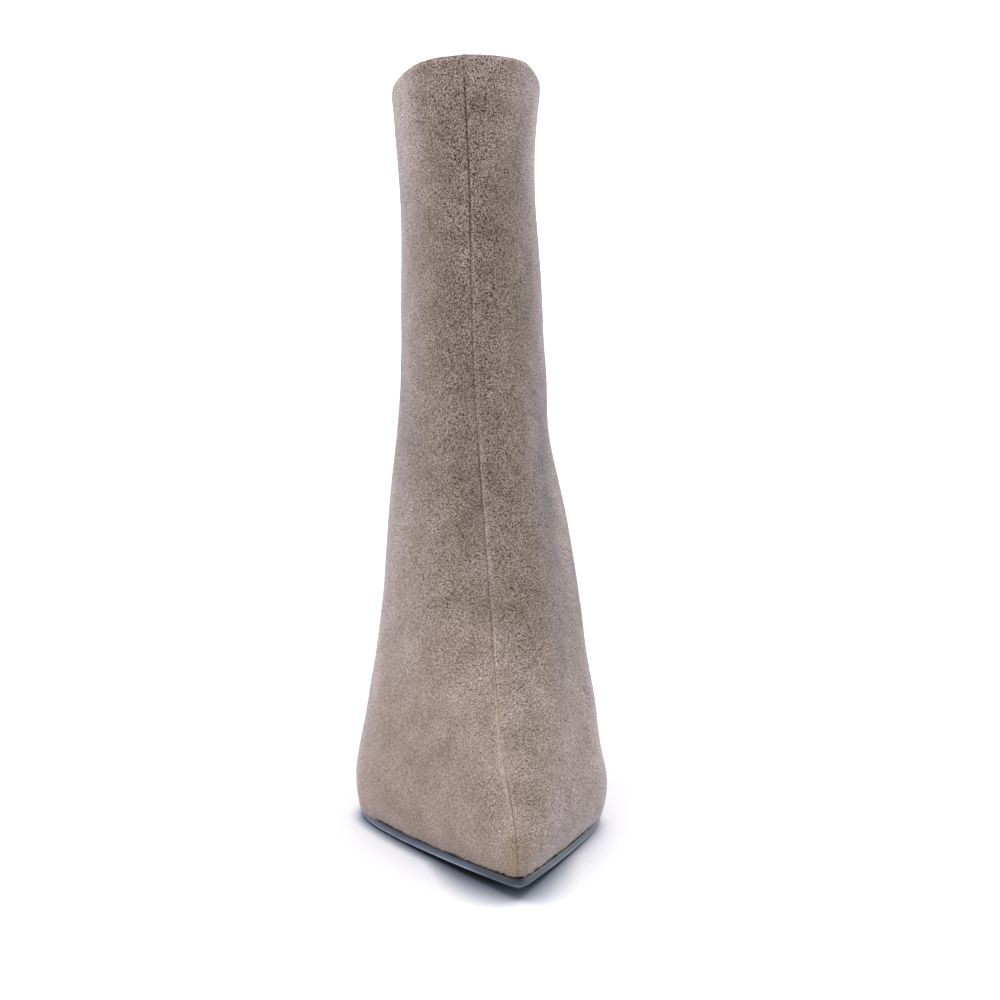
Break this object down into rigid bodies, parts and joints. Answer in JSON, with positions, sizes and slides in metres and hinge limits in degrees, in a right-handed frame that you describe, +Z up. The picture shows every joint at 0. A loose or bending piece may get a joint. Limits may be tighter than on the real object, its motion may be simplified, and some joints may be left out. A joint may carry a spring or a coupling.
{
  "type": "heeled ankle boot",
  "caption": "Pointed ankle boot for the right foot: suede upper with a front seam, open collar, thin sole and slim high heel.",
  "frame": {"origin": "on the floor, under the middle of the boot's box", "axes": "+Z up, -Y towards the toe, +X towards the inner (big toe) side"},
  "size_m": [0.0844, 0.2436, 0.2519],
  "materials": {
    "suede": "matt taupe suede with a short nap",
    "lining": "smooth lining leather",
    "sole": "dark dyed sole with a satin edge",
    "heel_cover": "heel covered in the same suede",
    "top_piece": "matt black rubber"
  },
  "bodies": {
    "root": {"upper": "suede", "insole": "lining", "outsole": "sole", "heel": "heel_cover", "top_lift": "top_piece"}
  },
  "joints": []
}
